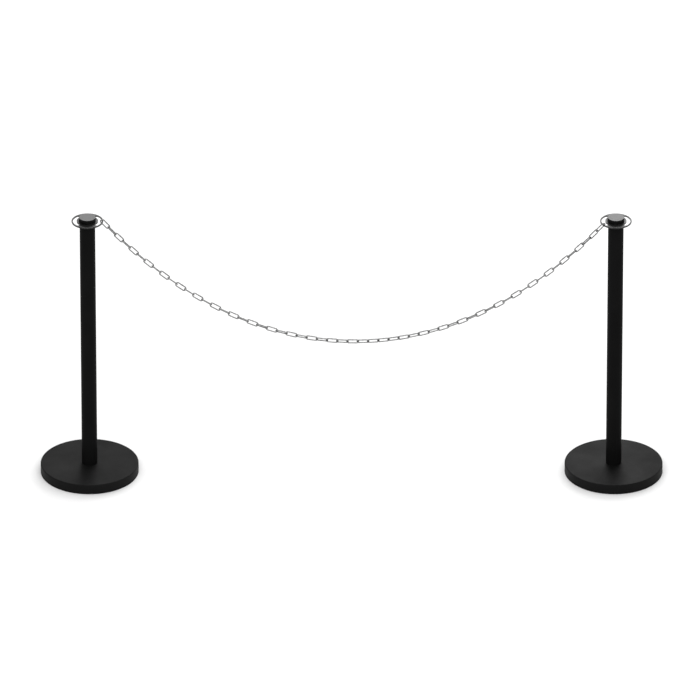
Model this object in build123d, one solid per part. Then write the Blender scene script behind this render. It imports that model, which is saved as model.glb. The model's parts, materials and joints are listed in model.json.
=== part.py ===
from build123d import *
import os
from math import atan, ceil, cos, radians, sin

# Pair of free-standing barrier posts joined by a long-link steel chain.
# Millimetres. Origin: on the floor, midway between the two posts.
# +X runs along the barrier to the right post, +Y to its back, +Z up.

# Posts
POST_SPACING = 1630.0
TUBE_RADIUS = 24.15
TUBE_WALL = 2.0
PLATE_TOP = 880.0

# Base
BASE_RADIUS = 152.5
BASE_HEIGHT = 32.0
COVER_WALL = 1.5
COVER_FLOOR_GAP = 1.5
COVER_EDGE_RADIUS = 3.0
WEIGHT_BOTTOM = 4.0
WEIGHT_CLEARANCE = 0.3
PAD_OUTER_RADIUS = 146.0
PAD_INNER_RADIUS = 118.0

# Clamp bolt through the base
BOLT_RADIUS = 6.0
BOLT_HEAD_FLATS = 18.0
BOLT_HEAD_HEIGHT = 7.5
BOLT_TIP_HEIGHT = 54.0
BOLT_TIP_CHAMFER = 1.0
HOLE_CLEARANCE = 0.4
THREAD_CLEARANCE = 0.05
RECESS_RADIUS = 20.0
RECESS_TOP = 19.0
FLAT_WASHER_RADIUS = 18.0
FLAT_WASHER_THICKNESS = 2.5
LOCK_WASHER_RADIUS = 10.5
LOCK_WASHER_THICKNESS = 3.0
LOCK_WASHER_SPLIT = 1.5
LOCK_WASHER_RAKE = 25.0
FOOT_PLUG_HEIGHT = 25.0
HEAD_PLUG_HEIGHT = 22.0
PLUG_CLEARANCE = 0.02

# Ring plate
PLATE_RADIUS = 49.0
PLATE_THICKNESS = 4.0
PLATE_EDGE_RADIUS = 0.6
SLOT_OUTER_RADIUS = 44.8
SLOT_INNER_RADIUS = 33.0
SLOT_HALF_ANGLE = 50.0
SLOT_CORNER_RADIUS = 4.5

# Cap on top of the ring plate
STUD_RADIUS = 5.0
STUD_BOTTOM_DEPTH = 16.0
STUD_TOP_GAP = 0.5
STUD_CHAMFER = 0.7
COLLAR_RADIUS = 26.3
COLLAR_HEIGHT = 5.2
NECK_RADIUS = 24.7
NECK_HEIGHT = 1.5
CAP_RADIUS = 25.7
CAP_HEIGHT = 5.3
CAP_EDGE_RADIUS = 0.8
CAP_BORE_DEPTH = 4.5

# Chain
LINK_COUNT = 57
WIRE_RADIUS = 2.0
LINK_WIDTH = 16.0
LINK_INNER_LENGTH = 32.0
WELD_RADIUS = 2.3
WELD_LENGTH = 4.0
LINK_GAP = 0.15
END_JOINT_GAP = 0.3
HOOK_GAP = 0.5
RIGHT_HOOK_ANGLE = 32.0
TWIST_LEFT = 0.0
TWIST_RIGHT = -134.0
SEAT_TURN = -16.0
SEAT_LINKS = 4
END_LINK_CUT = 0.4
LINKS_PER_NODE = 2
SLOPE_HALVINGS = 60

# How far a cutting or joining solid runs past the face that it meets
OVERRUN = 1.0

PLATE_BOTTOM = PLATE_TOP - PLATE_THICKNESS
TUBE_BORE = TUBE_RADIUS - TUBE_WALL
COLLAR_TOP = PLATE_TOP + COLLAR_HEIGHT
CAP_TOP = COLLAR_TOP + NECK_HEIGHT + CAP_HEIGHT
BOW_RADIUS = LINK_WIDTH / 2 - WIRE_RADIUS
STRAIGHT_LENGTH = LINK_INNER_LENGTH + 2 * WIRE_RADIUS - 2 * BOW_RADIUS
SIDES = {"left": -POST_SPACING / 2, "right": POST_SPACING / 2}


def disc(radius, low, high):
    """Solid cylinder on the post's axis between two heights."""
    return Pos(0, 0, (low + high) / 2) * Cylinder(radius, high - low)


def ring(outer, inner, low, high):
    """Hollow cylinder on the post's axis between two heights."""
    return disc(outer, low, high) - disc(inner, low - OVERRUN, high + OVERRUN)


# ---- base -------------------------------------------------------------

def base_cover():
    """Pressed steel cover: flat top, upright side, open underneath."""
    shell = disc(BASE_RADIUS, COVER_FLOOR_GAP, BASE_HEIGHT)
    shell = fillet(shell.edges().group_by(Axis.Z)[-1], COVER_EDGE_RADIUS)
    inside = disc(BASE_RADIUS - COVER_WALL, COVER_FLOOR_GAP - OVERRUN, BASE_HEIGHT - COVER_WALL)
    inside = fillet(inside.edges().group_by(Axis.Z)[-1], COVER_EDGE_RADIUS - COVER_WALL)
    return shell - inside - disc(BOLT_RADIUS + HOLE_CLEARANCE, 0, BASE_HEIGHT + OVERRUN)


def base_weight():
    """Cast iron disc that fills the cover, with a recess for the bolt's head."""
    top = BASE_HEIGHT - COVER_WALL
    body = disc(BASE_RADIUS - COVER_WALL - WEIGHT_CLEARANCE, WEIGHT_BOTTOM, top)
    body = chamfer(body.edges().group_by(Axis.Z)[-1], COVER_EDGE_RADIUS)
    body -= disc(BOLT_RADIUS + HOLE_CLEARANCE, 0, BASE_HEIGHT)
    return body - disc(RECESS_RADIUS, 0, RECESS_TOP)


def floor_pad():
    """Rubber ring under the weight that stands on the floor."""
    return ring(PAD_OUTER_RADIUS, PAD_INNER_RADIUS, 0, WEIGHT_BOTTOM)


def flat_washer():
    """Wide washer that spreads the bolt's pull over the weight."""
    low = RECESS_TOP - FLAT_WASHER_THICKNESS
    return ring(FLAT_WASHER_RADIUS, BOLT_RADIUS + HOLE_CLEARANCE, low, RECESS_TOP)


def lock_washer():
    """Split spring washer between the bolt's head and the flat washer."""
    high = RECESS_TOP - FLAT_WASHER_THICKNESS
    low = high - LOCK_WASHER_THICKNESS
    washer = ring(LOCK_WASHER_RADIUS, BOLT_RADIUS + HOLE_CLEARANCE, low, high)
    reach = LOCK_WASHER_RADIUS + OVERRUN
    split = Box(reach, LOCK_WASHER_SPLIT, 2 * LOCK_WASHER_THICKNESS)
    return washer - Pos(reach / 2, 0, (low + high) / 2) * Rot(LOCK_WASHER_RAKE, 0, 0) * split


def base_bolt():
    """Hexagon bolt from below, through the weight and cover into the foot plug."""
    seat = RECESS_TOP - FLAT_WASHER_THICKNESS - LOCK_WASHER_THICKNESS
    outline = RegularPolygon(BOLT_HEAD_FLATS / 2, 6, major_radius=False)
    head = Pos(0, 0, seat - BOLT_HEAD_HEIGHT) * extrude(outline, BOLT_HEAD_HEIGHT)
    shank = disc(BOLT_RADIUS, seat - OVERRUN, BOLT_TIP_HEIGHT)
    shank = chamfer(shank.edges().group_by(Axis.Z)[-1], BOLT_TIP_CHAMFER)
    return head + shank


# ---- post -------------------------------------------------------------

def post_tube():
    """Round steel tube from the base cover up to the ring plate."""
    return ring(TUBE_RADIUS, TUBE_BORE, BASE_HEIGHT, PLATE_BOTTOM)


def foot_plug():
    """Threaded steel plug in the tube's foot, flush with its lower end."""
    outer = TUBE_BORE - PLUG_CLEARANCE
    return ring(outer, BOLT_RADIUS + THREAD_CLEARANCE, BASE_HEIGHT, BASE_HEIGHT + FOOT_PLUG_HEIGHT)


def head_plug():
    """Threaded steel plug in the tube's head, flush with its upper end."""
    outer = TUBE_BORE - PLUG_CLEARANCE
    return ring(outer, STUD_RADIUS + THREAD_CLEARANCE, PLATE_BOTTOM - HEAD_PLUG_HEIGHT, PLATE_BOTTOM)


# ---- ring plate and cap -----------------------------------------------

def kidney_slot(middle_angle):
    """Curved slot through the plate, centred on a direction from the post's axis."""
    start = middle_angle - SLOT_HALF_ANGLE
    outer = CenterArc((0, 0), SLOT_OUTER_RADIUS, start, 2 * SLOT_HALF_ANGLE)
    inner = CenterArc((0, 0), SLOT_INNER_RADIUS, start, 2 * SLOT_HALF_ANGLE)
    outline = make_face([outer, inner, Line(outer @ 0, inner @ 0), Line(outer @ 1, inner @ 1)])
    slot = Pos(0, 0, PLATE_BOTTOM - OVERRUN) * extrude(outline, PLATE_THICKNESS + 2 * OVERRUN)
    return fillet(slot.edges().filter_by(Axis.Z), SLOT_CORNER_RADIUS)


def ring_plate():
    """Flat steel disc with a curved slot on each side for the chain's end links."""
    plate = disc(PLATE_RADIUS, PLATE_BOTTOM, PLATE_TOP)
    plate = fillet(plate.edges(), PLATE_EDGE_RADIUS)
    plate -= disc(STUD_RADIUS + THREAD_CLEARANCE, PLATE_BOTTOM - OVERRUN, PLATE_TOP + OVERRUN)
    for middle_angle in (0, 180):
        plate -= kidney_slot(middle_angle)
    return plate


def lock_collar():
    """Round collar that clamps the ring plate onto the post's head."""
    collar = disc(COLLAR_RADIUS, PLATE_TOP, COLLAR_TOP)
    collar = fillet(collar.edges().group_by(Axis.Z)[-1], CAP_EDGE_RADIUS)
    return collar - disc(STUD_RADIUS + HOLE_CLEARANCE, PLATE_TOP - OVERRUN, COLLAR_TOP + OVERRUN)


def top_cap():
    """Flat round cap on a short neck, with a blind threaded hole for the stud."""
    head = disc(CAP_RADIUS, COLLAR_TOP + NECK_HEIGHT, CAP_TOP)
    head = fillet(head.edges(), CAP_EDGE_RADIUS)
    cap = head + disc(NECK_RADIUS, COLLAR_TOP, COLLAR_TOP + NECK_HEIGHT + OVERRUN)
    bore = disc(STUD_RADIUS + THREAD_CLEARANCE, COLLAR_TOP - OVERRUN, COLLAR_TOP + CAP_BORE_DEPTH)
    return cap - bore


def cap_stud():
    """Threaded stud from the head plug, through plate and collar, into the cap."""
    low = PLATE_BOTTOM - STUD_BOTTOM_DEPTH
    stud = disc(STUD_RADIUS, low, COLLAR_TOP + CAP_BORE_DEPTH - STUD_TOP_GAP)
    return chamfer(stud.edges(), STUD_CHAMFER)


# ---- chain ------------------------------------------------------------

def chain_link():
    """One welded link: long axis on X, width on Y, weld half way along the +Y side."""
    side = Rot(0, 90, 0) * Cylinder(WIRE_RADIUS, STRAIGHT_LENGTH)
    weld = Cylinder(WELD_RADIUS, WELD_LENGTH)
    weld = Rot(0, 90, 0) * fillet(weld.edges(), WELD_RADIUS - WIRE_RADIUS)
    section = Plane.XZ * Pos(BOW_RADIUS, 0) * Circle(WIRE_RADIUS)
    bow = Rot(0, 0, -90) * revolve(section, Axis.Z, 180)
    link = Pos(STRAIGHT_LENGTH / 2, 0, 0) * bow
    link += Pos(-STRAIGHT_LENGTH / 2, 0, 0) * Rot(0, 0, 180) * bow
    link += Pos(0, BOW_RADIUS, 0) * (side + weld)
    return link + Pos(0, -BOW_RADIUS, 0) * side


def end_link():
    """Link cut through at its weld, so that it can be sprung over a plate's rim."""
    cut = Pos(0, BOW_RADIUS, 0) * Box(END_LINK_CUT, 3 * WIRE_RADIUS, 3 * WIRE_RADIUS)
    return chain_link() - cut


def hook_point(side, angle):
    """Where an end link hangs: the inner upper edge of a plate's rim.

    The angle turns the place from the barrier's line towards the front.
    """
    reach = (SLOT_OUTER_RADIUS - HOOK_GAP) * (1 if side == "left" else -1)
    x = SIDES[side] + reach * cos(radians(angle))
    y = -abs(reach) * sin(radians(angle))
    return Vector(x, y, PLATE_TOP + HOOK_GAP)


def joint_reach(joint):
    """From a link's middle to the middle of the gap at one of the chain's joints.

    Joint 0 is on the left plate's rim and the last one on the right plate's.
    The two joints beside the end links have more play, so that the chain can swing.
    """
    loose = joint in (1, LINK_COUNT - 1)
    return (LINK_INNER_LENGTH - (END_JOINT_GAP if loose else LINK_GAP)) / 2


def link_reach(index):
    """Distance between the two joints of one link."""
    return joint_reach(index) + joint_reach(index + 1)


def link_slope(index, steepness):
    """Angle of a hanging link above level; evenly loaded links give an even tangent."""
    return atan(steepness * (index - (LINK_COUNT - 1) / 2))


def chain_steepness(span):
    """Change of slope from link to link that makes the hanging chain fill the span."""
    low, high = 0.0, 1.0
    for _ in range(SLOPE_HALVINGS):
        middle = (low + high) / 2
        width = sum(link_reach(i) * cos(link_slope(i, middle)) for i in range(LINK_COUNT))
        low, high = (middle, high) if width > span else (low, middle)
    return low


def chain_line():
    """Joint points of the hanging chain and the direction of each link, left to right."""
    points = [hook_point("left", 0)]
    across = hook_point("right", RIGHT_HOOK_ANGLE) - points[0]
    along = across.normalized()
    steepness = chain_steepness(across.length)
    pulls = []
    for index in range(LINK_COUNT):
        slope = link_slope(index, steepness)
        pulls.append(along * cos(slope) + Vector(0, 0, 1) * sin(slope))
        points.append(points[-1] + pulls[-1] * link_reach(index))
    return points, pulls


def link_twist(index):
    """Turn of a link about its own length, beyond the quarter turn from link to link.

    The chain twists evenly, and its last links turn further to sit square on the rim.
    """
    last = LINK_COUNT - 1
    even = TWIST_LEFT + (TWIST_RIGHT - TWIST_LEFT) * index / last
    near_rim = max(0.0, 1 - (last - index) / SEAT_LINKS)
    return even + SEAT_TURN * near_rim ** 2


def chain_links():
    """Every link of the hanging chain, from the left post to the right one."""
    points, pulls = chain_line()
    front = (points[-1] - points[0]).normalized().cross(Vector(0, 0, 1))
    whole, opened = chain_link(), end_link()
    links = []
    for index, pull in enumerate(pulls):
        roll = radians(link_twist(index) + 90 * (index % 2))
        normal = front * cos(roll) + pull.cross(front) * sin(roll)
        middle = points[index] + pull * joint_reach(index)
        shape = opened if index in (0, LINK_COUNT - 1) else whole
        links.append(Plane(origin=middle, x_dir=pull, z_dir=normal).location * shape)
    return links


# ---- write every piece -------------------------------------------------

def write(name, *solids):
    """One STEP file for a node, which may be a group of separate solids."""
    shape = solids[0] if len(solids) == 1 else Compound(children=list(solids))
    export_step(shape, f"parts/{name}.step")


STAND_PIECES = (
    base_cover, base_weight, floor_pad, flat_washer, lock_washer, base_bolt,
    post_tube, foot_plug, head_plug, ring_plate, lock_collar, top_cap, cap_stud,
)

os.makedirs("parts", exist_ok=True)
for side, x in SIDES.items():
    for piece in STAND_PIECES:
        write(f"{side}_{piece.__name__}", Pos(x, 0, 0) * piece())

all_links = chain_links()
write("left_end_link", all_links[0])
write("right_end_link", all_links[-1])
middle_links = all_links[1:-1]
for group in range(ceil(len(middle_links) / LINKS_PER_NODE)):
    first = group * LINKS_PER_NODE
    write(f"chain_links_{group + 1:02d}", *middle_links[first:first + LINKS_PER_NODE])
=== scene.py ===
import json
from math import radians

import bpy
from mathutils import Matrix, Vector

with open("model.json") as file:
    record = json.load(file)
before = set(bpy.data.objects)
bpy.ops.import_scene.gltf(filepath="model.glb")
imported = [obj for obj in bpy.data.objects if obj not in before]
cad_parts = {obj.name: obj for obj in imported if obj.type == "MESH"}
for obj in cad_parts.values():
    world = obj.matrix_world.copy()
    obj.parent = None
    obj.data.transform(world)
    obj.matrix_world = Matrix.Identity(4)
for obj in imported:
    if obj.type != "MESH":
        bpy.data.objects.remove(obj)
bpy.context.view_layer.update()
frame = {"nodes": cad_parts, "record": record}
record = frame["record"]
nodes = frame["nodes"]

# Camera: its place in metres from the middle of the barrier's floor line, its pitch in
# degrees below level, its lens and sensor in millimetres
CAMERA_DISTANCE = 40.0
CAMERA_HEIGHT = 21.902
CAMERA_SIDE = -0.005
CAMERA_PITCH = 28.23
CAMERA_LENS = 753.6
SENSOR_WIDTH = 36.0
VIEW_RANGE = 500.0

# Studio, in metres and watts
FLOOR_SIZE = 400.0
FLOOR_LEVEL = 0.88
SKY_STRENGTH = 0.85
LIGHT_TARGET = (0.0, 0.0, 0.45)
KEY_PLACE = (-0.3, -3.8, 3.8)
KEY_SIZE = (4.5, 3.2)
KEY_POWER = 120.0
BACK_PLACE = (1.4, 4.2, 3.0)
BACK_SIZE = (5.0, 2.4)
BACK_POWER = 130.0

# The Mix node's colour sockets, whose names it shares with its other sockets
MIX_COLOURS = (6, 7)
MIX_RESULT = 2


# ---- node material helpers ----------------------------------------------

class Material:
    """A Principled material whose nodes are added one call at a time."""

    def __init__(self, name):
        self.material = bpy.data.materials.new(name)
        self.material.use_nodes = True
        self.tree = self.material.node_tree
        self.shader = self.tree.nodes["Principled BSDF"]
        self.place = self.add("ShaderNodeTexCoord").outputs["Object"]

    def add(self, kind, **settings):
        node = self.tree.nodes.new(kind)
        for name, value in settings.items():
            setattr(node, name, value)
        return node

    def link(self, source, target):
        self.tree.links.new(source, target)

    def set(self, **values):
        """Constants that are the same all over the surface, on the shader's own sockets."""
        for name, value in values.items():
            self.shader.inputs[name.replace("_", " ")].default_value = value

    def noise(self, scale, detail=2.0, roughness=0.5, place=None):
        """Noise with the given number of lumps a metre."""
        node = self.add("ShaderNodeTexNoise")
        node.inputs["Scale"].default_value = scale
        node.inputs["Detail"].default_value = detail
        node.inputs["Roughness"].default_value = roughness
        self.link(place or self.place, node.inputs["Vector"])
        return node.outputs["Fac"]

    def crystals(self, scale):
        """A random value from 0 to 1 for each cell, with the given number of cells a metre."""
        cells = self.add("ShaderNodeTexVoronoi")
        cells.inputs["Scale"].default_value = scale
        self.link(self.place, cells.inputs["Vector"])
        tone = self.add("ShaderNodeSeparateColor")
        self.link(cells.outputs["Color"], tone.inputs["Color"])
        return tone.outputs["Red"]

    def stretched(self, x, y, z):
        """Object coordinates scaled along each axis."""
        node = self.add("ShaderNodeMapping")
        node.inputs["Scale"].default_value = (x, y, z)
        self.link(self.place, node.inputs["Vector"])
        return node.outputs["Vector"]

    def spread(self, source, low, high, out_low, out_high):
        """Maps a value's range onto another range, held at both ends."""
        node = self.add("ShaderNodeMapRange")
        node.inputs["From Min"].default_value = low
        node.inputs["From Max"].default_value = high
        node.inputs["To Min"].default_value = out_low
        node.inputs["To Max"].default_value = out_high
        self.link(source, node.inputs["Value"])
        return node.outputs["Result"]

    def math(self, operation, first, second):
        node = self.add("ShaderNodeMath", operation=operation)
        for socket, value in zip(node.inputs, (first, second)):
            if isinstance(value, (int, float)):
                socket.default_value = value
            else:
                self.link(value, socket)
        return node.outputs["Value"]

    def mix(self, factor, first, second):
        """Colour between two colours or colour sockets."""
        node = self.add("ShaderNodeMix", data_type="RGBA")
        self.link(factor, node.inputs["Factor"])
        for number, value in zip(MIX_COLOURS, (first, second)):
            if isinstance(value, tuple):
                node.inputs[number].default_value = (*value, 1)
            else:
                self.link(value, node.inputs[number])
        return node.outputs[MIX_RESULT]

    def bump(self, height, depth, strength=1.0, under=None):
        """Bump from a height of 0 to 1, depth metres deep."""
        node = self.add("ShaderNodeBump")
        node.inputs["Distance"].default_value = depth
        node.inputs["Strength"].default_value = strength
        self.link(height, node.inputs["Height"])
        if under is not None:
            self.link(under, node.inputs["Normal"])
        return node.outputs["Normal"]

    def facing_up(self):
        """1 on level upper faces, 0 on the rest."""
        geometry = self.add("ShaderNodeNewGeometry")
        parts = self.add("ShaderNodeSeparateXYZ")
        self.link(geometry.outputs["Normal"], parts.inputs["Vector"])
        return self.spread(parts.outputs["Z"], 0.90, 0.99, 0.0, 1.0)

    def crevice(self, distance):
        """1 where another surface is well within distance metres, 0 in the open."""
        shade = self.add("ShaderNodeAmbientOcclusion", samples=8)
        shade.inputs["Distance"].default_value = distance
        return self.spread(shade.outputs["AO"], 0.35, 0.85, 1.0, 0.0)

    def worn_edge(self, width):
        """1 within about width metres of a sharp edge, 0 on flat stretches."""
        bevel = self.add("ShaderNodeBevel", samples=6)
        bevel.inputs["Radius"].default_value = width
        geometry = self.add("ShaderNodeNewGeometry")
        dot = self.add("ShaderNodeVectorMath", operation="DOT_PRODUCT")
        self.link(bevel.outputs["Normal"], dot.inputs[0])
        self.link(geometry.outputs["Normal"], dot.inputs[1])
        return self.spread(dot.outputs["Value"], 0.985, 0.90, 0.0, 1.0)

    def use(self, colour=None, roughness=None, normal=None, metallic=None):
        """Links the sockets that are given and returns the finished material."""
        sockets = {"Base Color": colour, "Roughness": roughness, "Normal": normal, "Metallic": metallic}
        for name, value in sockets.items():
            if value is not None:
                self.link(value, self.shader.inputs[name])
        return self.material


def grey(level):
    return (level, level, level)


# ---- materials -------------------------------------------------------------

def powder_coat(name, dark, light, rough, grain, grain_depth, specular):
    """Black powder coat: fine orange peel over a broader, fainter waviness, rubbed on its edges.

    Its colour lies between two greys and its roughness in a range.
    """
    m = Material(name)
    m.set(Specular_IOR_Level=specular)
    broad = m.noise(9.0, 4.0, 0.6)
    fine = m.noise(grain, 3.0, 0.55)
    speck = m.noise(grain * 4, 1.0, 0.5)
    tone = m.math("ADD", m.math("MULTIPLY", broad, 0.65), m.math("MULTIPLY", speck, 0.35))
    colour = m.mix(m.spread(tone, 0.35, 0.65, 0.0, 1.0), grey(dark), grey(light))
    patches = m.spread(m.noise(60.0, 3.0), 0.5, 0.75, 0.0, 0.35)
    rubbed = m.math("MULTIPLY", m.worn_edge(0.0012), patches)
    colour = m.mix(rubbed, colour, grey(0.08))
    unevenness = m.math("ADD", broad, m.math("MULTIPLY", fine, 0.5))
    waviness = m.bump(broad, 0.0004, 0.5)
    peel = m.bump(fine, grain_depth, under=waviness)
    return m.use(colour, m.spread(unevenness, 0.5, 1.0, *rough), peel)


def base_coat():
    """Matte, finely textured black coat on the base covers."""
    return powder_coat(
        "base_powder_coat", dark=0.0022, light=0.0044, rough=(0.50, 0.66),
        grain=520.0, grain_depth=0.00010, specular=0.08)


def post_coat():
    """Dull satin black coat on the tubes."""
    return powder_coat(
        "post_powder_coat", dark=0.0036, light=0.0054, rough=(0.40, 0.52),
        grain=420.0, grain_depth=0.00004, specular=0.018)


def plate_coat():
    """Brighter satin black coat on the ring plates."""
    return powder_coat(
        "plate_powder_coat", dark=0.0060, light=0.0100, rough=(0.28, 0.38),
        grain=420.0, grain_depth=0.00004, specular=0.30)


def collar_coat():
    """Satin black coat on the lock collars."""
    return powder_coat(
        "collar_powder_coat", dark=0.0030, light=0.0048, rough=(0.34, 0.46),
        grain=420.0, grain_depth=0.00003, specular=0.05)


def cap_finish():
    """Black cap whose upward top face is painted a lighter, half-metal satin grey: a painted sheen
    standing in for the sky it reflects.
    """
    m = Material("cap_with_painted_sheen_top")
    m.set(Specular_IOR_Level=0.12)
    top = m.facing_up()
    broad = m.noise(30.0, 4.0, 0.6)
    fine = m.noise(700.0, 2.0, 0.5)
    black = m.mix(broad, grey(0.0026), grey(0.0045))
    # Painted sheen: faces that point up get a lighter satin grey than the black sides
    satin = m.mix(m.spread(broad, 0.3, 0.7, 0.0, 1.0), grey(0.145), grey(0.166))
    rough = m.math("ADD", m.spread(broad, 0.3, 0.7, 0.46, 0.54), m.math("MULTIPLY", fine, 0.04))
    metal = m.math("MULTIPLY", top, 0.5)
    return m.use(m.mix(top, black, satin), rough, m.bump(fine, 0.00001), metal)


def galvanised():
    """Zinc-coated chain wire: crystal tones, dull spots and painted shade where links meet."""
    m = Material("galvanised_chain")
    m.set(Metallic=1.0)
    crystal = m.crystals(450.0)
    dull = m.noise(130.0, 4.0, 0.6)
    fine = m.noise(1500.0, 3.0, 0.6)
    zinc = m.mix(crystal, grey(0.20), grey(0.33))
    spotted = m.mix(m.spread(dull, 0.50, 0.72, 0.0, 0.6), zinc, grey(0.10))
    # Painted shade: the wire is darkened where links overlap and hide each other from the light
    painted_shade = m.math("MULTIPLY", m.crevice(0.0045), 0.8)
    rough = m.math("ADD", m.spread(dull, 0.35, 0.7, 0.32, 0.52), m.math("MULTIPLY", crystal, 0.06))
    lumps = m.bump(dull, 0.0002, 0.6)
    return m.use(m.mix(painted_shade, spotted, grey(0.045)), rough, m.bump(fine, 0.00006, 0.8, under=lumps))


def bright_zinc():
    """Bright zinc plate on the bolts, washers and studs."""
    m = Material("zinc_plate")
    m.set(Metallic=1.0)
    cloud = m.noise(160.0, 4.0, 0.6)
    colour = m.mix(m.spread(cloud, 0.35, 0.7, 0.0, 1.0), (0.62, 0.64, 0.67), (0.55, 0.54, 0.50))
    rough = m.spread(cloud, 0.3, 0.7, 0.22, 0.40)
    return m.use(colour, rough, m.bump(m.noise(1300.0, 2.0), 0.00004))


def turned_steel():
    """Bare lathe-turned steel of the tube's plugs."""
    m = Material("turned_steel")
    m.set(Metallic=1.0)
    lines = m.noise(60.0, 2.0, 0.5, m.stretched(1.0, 1.0, 60.0))
    stain = m.noise(90.0, 4.0, 0.65)
    colour = m.mix(m.spread(stain, 0.45, 0.75, 0.0, 0.7), (0.47, 0.47, 0.48), (0.30, 0.27, 0.24))
    return m.use(colour, m.spread(stain, 0.3, 0.7, 0.28, 0.50), m.bump(lines, 0.00006))


def cast_iron():
    """Sand-cast iron of the base weights."""
    m = Material("cast_iron_weight")
    m.set(Metallic=0.35)
    sand = m.noise(900.0, 4.0, 0.65)
    lump = m.noise(70.0, 3.0, 0.5)
    colour = m.mix(m.spread(lump, 0.35, 0.7, 0.0, 1.0), (0.10, 0.10, 0.105), (0.16, 0.135, 0.12))
    rough = m.spread(sand, 0.3, 0.7, 0.58, 0.82)
    swell = m.bump(lump, 0.0012, 0.5)
    return m.use(colour, rough, m.bump(sand, 0.0004, 0.8, under=swell))


def rubber():
    """Moulded black rubber of the floor rings, with dust in its grain."""
    m = Material("floor_rubber")
    grain = m.noise(800.0, 3.0, 0.6)
    dust = m.noise(40.0, 5.0, 0.65)
    colour = m.mix(m.spread(dust, 0.5, 0.8, 0.0, 0.7), grey(0.018), (0.06, 0.058, 0.055))
    return m.use(colour, m.spread(grain, 0.3, 0.7, 0.68, 0.88), m.bump(grain, 0.00015))


# Material slot of the record: function that makes its finish
FINISHES = {
    "base_coat": base_coat,
    "post_coat": post_coat,
    "plate_coat": plate_coat,
    "collar_coat": collar_coat,
    "cap_finish": cap_finish,
    "chain_steel": galvanised,
    "zinc_steel": bright_zinc,
    "plug_steel": turned_steel,
    "cast_weight": cast_iron,
    "rubber": rubber,
}


def finish_cad_nodes():
    """Gives every CAD node the finish of its record slot."""
    made = {slot: make() for slot, make in FINISHES.items()}
    for part in record["subparts"]:
        slots = nodes[part["node"]].data.materials
        slots.clear()
        slots.append(made[part["material_slot"]])


# ---- studio ----------------------------------------------------------------

def add_to_scene(name, data):
    obj = bpy.data.objects.new(name, data)
    bpy.context.scene.collection.objects.link(obj)
    return obj


def floor_finish():
    """Matte, nearly white floor with a broad, faint change of tone."""
    m = Material("pale_floor")
    m.set(Specular_IOR_Level=0.1)
    tone = m.noise(0.8, 3.0)
    colour = m.mix(tone, grey(0.985 * FLOOR_LEVEL), grey(FLOOR_LEVEL))
    return m.use(colour, m.spread(tone, 0.3, 0.7, 0.8, 0.9))


def floor():
    half = FLOOR_SIZE / 2
    corners = [(-half, -half, 0), (half, -half, 0), (half, half, 0), (-half, half, 0)]
    mesh = bpy.data.meshes.new("studio_floor")
    mesh.from_pydata(corners, [], [(0, 1, 2, 3)])
    mesh.materials.append(floor_finish())
    obj = add_to_scene("studio_floor", mesh)


def sky():
    world = bpy.data.worlds.new("studio_sky")
    world.use_nodes = True
    background = world.node_tree.nodes["Background"]
    background.inputs["Color"].default_value = (*grey(1.0), 1.0)
    background.inputs["Strength"].default_value = SKY_STRENGTH
    bpy.context.scene.world = world


def softbox(name, place, size, power):
    """Rectangular light that faces the middle of the barrier."""
    data = bpy.data.lights.new(name, "AREA")
    data.shape = "RECTANGLE"
    data.size, data.size_y = size
    data.energy = power
    obj = add_to_scene(name, data)
    obj.location = place
    aim = Vector(LIGHT_TARGET) - Vector(place)
    obj.rotation_euler = aim.to_track_quat("-Z", "Y").to_euler()


def camera():
    data = bpy.data.cameras.new("photo_camera")
    data.lens = CAMERA_LENS
    data.sensor_width = SENSOR_WIDTH
    data.clip_end = VIEW_RANGE
    obj = add_to_scene("photo_camera", data)
    obj.location = (CAMERA_SIDE, -CAMERA_DISTANCE, CAMERA_HEIGHT)
    obj.rotation_euler = (radians(90.0 - CAMERA_PITCH), 0.0, 0.0)
    bpy.context.scene.camera = obj


camera()
finish_cad_nodes()
floor()
sky()
softbox("key_softbox", KEY_PLACE, KEY_SIZE, KEY_POWER)
softbox("back_softbox", BACK_PLACE, BACK_SIZE, BACK_POWER)
bpy.context.scene.view_settings.view_transform = "Standard"
